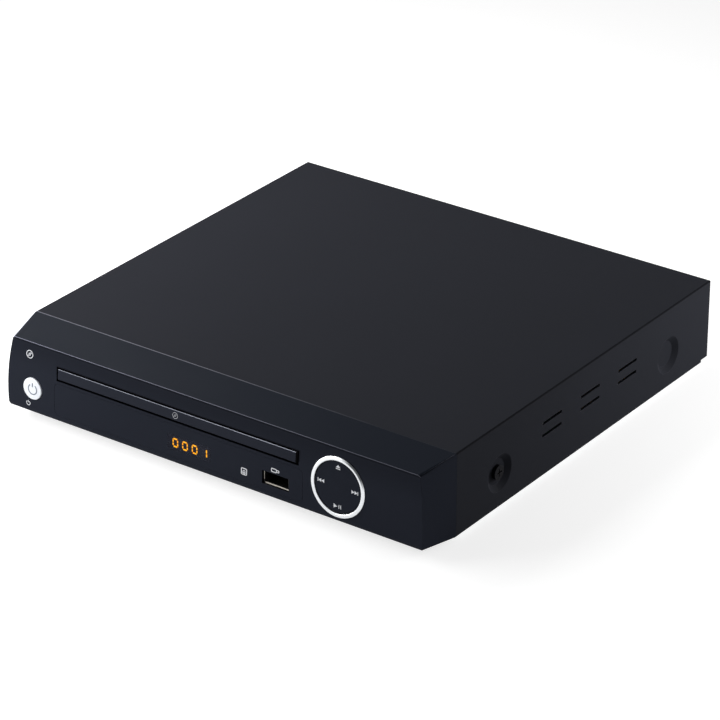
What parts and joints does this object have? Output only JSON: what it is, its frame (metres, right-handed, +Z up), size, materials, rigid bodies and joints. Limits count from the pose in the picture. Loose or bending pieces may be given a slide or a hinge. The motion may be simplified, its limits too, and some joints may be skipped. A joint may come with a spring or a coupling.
{
  "type": "disc player",
  "caption": "Low box-shaped disc player with a motor-driven front tray, display window, power button, four-way control pad, front data socket and rear jacks.",
  "frame": {"origin": "middle of the player's bounding box, on the surface that the feet stand on", "axes": "+X to the right as seen from the front, +Y from the front to the rear, +Z up"},
  "size_m": [0.225, 0.2316, 0.042],
  "materials": {
    "cover_paint": "satin fine-grained paint",
    "bezel_plastic": "satin moulded plastic",
    "window_smoke": "polished smoked acrylic",
    "silver_plastic": "silver-painted plastic",
    "tray_plastic": "satin moulded plastic",
    "zinc_steel": "zinc-plated sheet",
    "panel_paint": "satin paint",
    "black_screw": "black zinc",
    "zinc_screw": "bright zinc",
    "foot_rubber": "matt",
    "dark_moulding": "moulded",
    "gear_plastic": "self-lubricating acetal",
    "board_green": "solder mask",
    "board_brown": "paper laminate",
    "chip_black": "moulded epoxy",
    "capacitor_sleeve": "printed sleeve",
    "ferrite": "ferrite core and yellow tape",
    "aluminium": "extruded",
    "nickel": "nickel plate",
    "brass_gear": "machined",
    "motor_can": "drawn can",
    "belt_rubber": "matt",
    "pad_rubber": "matt",
    "display_red": "dark red filter",
    "digit_light": "lit segment",
    "sensor_dark": "infrared filter",
    "jack_colours": "yellow, white, red and orange inserts",
    "magnet": "sintered magnet",
    "pickup_metal": "die-cast",
    "lens": "coated lens",
    "ribbon": "flat cable"
  },
  "bodies": {
    "root": {"top_cover": "cover_paint", "bottom_chassis": "zinc_steel", "rear_panel": "panel_paint", "inlet_panel": "panel_paint", "front_bezel": "bezel_plastic", "display_window": "window_smoke", "trim_ring": "silver_plastic", "rubber_feet": "foot_rubber", "cover_screws": "black_screw", "front_board": "board_green", "display_module": "display_red", "display_digits": "digit_light", "ir_receiver": "sensor_dark", "usb_shell": "nickel", "usb_tongue": "dark_moulding", "key_switches": "dark_moulding", "main_board": "board_green", "board_chips": "chip_black", "board_capacitors": "capacitor_sleeve", "power_board": "board_brown", "transformer": "ferrite", "heat_sinks": "aluminium", "mains_inlet": "dark_moulding", "mains_pins": "nickel", "av_board": "board_green", "av_jack_block": "dark_moulding", "av_jack_shells": "nickel", "av_jack_inserts": "jack_colours", "hdmi_shell": "nickel", "hdmi_tongue": "dark_moulding", "loader_frame": "dark_moulding", "clamp_bridge": "zinc_steel", "loader_screws": "zinc_screw", "board_screws": "zinc_screw", "loading_motor": "motor_can", "drive_belt": "belt_rubber", "panel_ribbon": "ribbon"},
    "tray": {"disc_tray": "tray_plastic", "tray_door": "bezel_plastic"},
    "drive_gear": {"drive_gear": "gear_plastic"},
    "pulley_gear": {"pulley_gear": "gear_plastic"},
    "motor_pulley": {"motor_pulley": "gear_plastic"},
    "cam_slider": {"cam_slider": "gear_plastic"},
    "traverse": {"traverse_plate": "zinc_steel", "guide_rods": "nickel", "spindle_motor": "motor_can", "sled_motor": "motor_can"},
    "turntable": {"turntable": "gear_plastic", "turntable_pad": "pad_rubber"},
    "clamper": {"disc_clamper": "gear_plastic", "clamper_magnet": "magnet"},
    "sled": {"pickup_body": "pickup_metal"},
    "lens": {"objective_lens": "lens"},
    "sled_gear": {"sled_gear": "gear_plastic"},
    "sled_pinion": {"sled_pinion": "brass_gear"},
    "power_button": {"power_button": "silver_plastic"},
    "nav_pad": {"nav_pad": "bezel_plastic"},
    "pad_gimbal": {"pad_gimbal": "gear_plastic"}
  },
  "joints": [
    {"name": "tray_slide", "type": "slide", "parent": "root", "child": "tray", "axis": [0, -1, 0], "range_m": [0, 0.13]},
    {"name": "drive_gear_spin", "type": "hinge", "parent": "root", "child": "drive_gear", "pos_m": [0.0203, -0.073, 0.024], "axis": [0, 0, 1], "range_deg": [-621, 0]},
    {"name": "pulley_gear_spin", "type": "hinge", "parent": "root", "child": "pulley_gear", "pos_m": [0.00442, -0.07878, 0.022], "axis": [0, 0, 1], "range_deg": [0, 2070]},
    {"name": "motor_pulley_spin", "type": "hinge", "parent": "root", "child": "motor_pulley", "pos_m": [-0.0427, -0.0777, 0.021], "axis": [0, 0, 1], "range_deg": [0, 8690]},
    {"name": "traverse_tilt", "type": "hinge", "parent": "root", "child": "traverse", "pos_m": [-0.0177, 0.057, 0.016], "axis": [1, 0, 0], "range_deg": [0, 3.6]},
    {"name": "cam_slide", "type": "slide", "parent": "root", "child": "cam_slider", "axis": [1, 0, 0], "range_m": [0, 0.0201]},
    {"name": "turntable_spin", "type": "hinge", "parent": "traverse", "child": "turntable", "pos_m": [-0.0177, -0.042, 0.025], "axis": [0, 0, 1], "continuous": true},
    {"name": "clamper_spin", "type": "hinge", "parent": "root", "child": "clamper", "pos_m": [-0.0177, -0.042, 0.034], "axis": [0, 0, 1], "continuous": true},
    {"name": "sled_slide", "type": "slide", "parent": "traverse", "child": "sled", "axis": [0, 1, 0], "range_m": [0, 0.034]},
    {"name": "lens_focus", "type": "slide", "parent": "sled", "child": "lens", "axis": [0, 0, 1], "range_m": [-0.0005, 0.0005], "stiffness_N_per_m": 30},
    {"name": "sled_gear_spin", "type": "hinge", "parent": "traverse", "child": "sled_gear", "pos_m": [0.0203, 0.004, 0.024], "axis": [0, 0, 1], "range_deg": [-390, 0]},
    {"name": "sled_pinion_spin", "type": "hinge", "parent": "traverse", "child": "sled_pinion", "pos_m": [0.0203, 0.015, 0.024], "axis": [0, 0, 1], "range_deg": [0, 1040]},
    {"name": "power_button_press", "type": "slide", "parent": "root", "child": "power_button", "axis": [0, 0.9993, -0.0376], "range_m": [0, 0.0008], "stiffness_N_per_m": 500},
    {"name": "pad_up_down", "type": "hinge", "parent": "root", "child": "pad_gimbal", "pos_m": [0.068, -0.11074, 0.02139], "axis": [1, 0, 0], "range_deg": [-2, 2], "stiffness_Nm_per_rad": 0.08},
    {"name": "pad_left_right", "type": "hinge", "parent": "pad_gimbal", "child": "nav_pad", "pos_m": [0.068, -0.11074, 0.02139], "axis": [0, 0.0543, 0.9985], "range_deg": [-2, 2], "stiffness_Nm_per_rad": 0.08}
  ],
  "couplings": [
    {"joint": "drive_gear_spin", "follows": "tray_slide", "rad_per_m": -83.333},
    {"joint": "pulley_gear_spin", "follows": "tray_slide", "rad_per_m": 277.78},
    {"joint": "motor_pulley_spin", "follows": "tray_slide", "rad_per_m": 1166.7},
    {"joint": "cam_slide", "follows": "traverse_tilt", "m_per_rad": 0.31831},
    {"joint": "clamper_spin", "follows": "turntable_spin", "ratio": 1},
    {"joint": "sled_gear_spin", "follows": "sled_slide", "rad_per_m": -200},
    {"joint": "sled_pinion_spin", "follows": "sled_slide", "rad_per_m": 533.33}
  ]
}
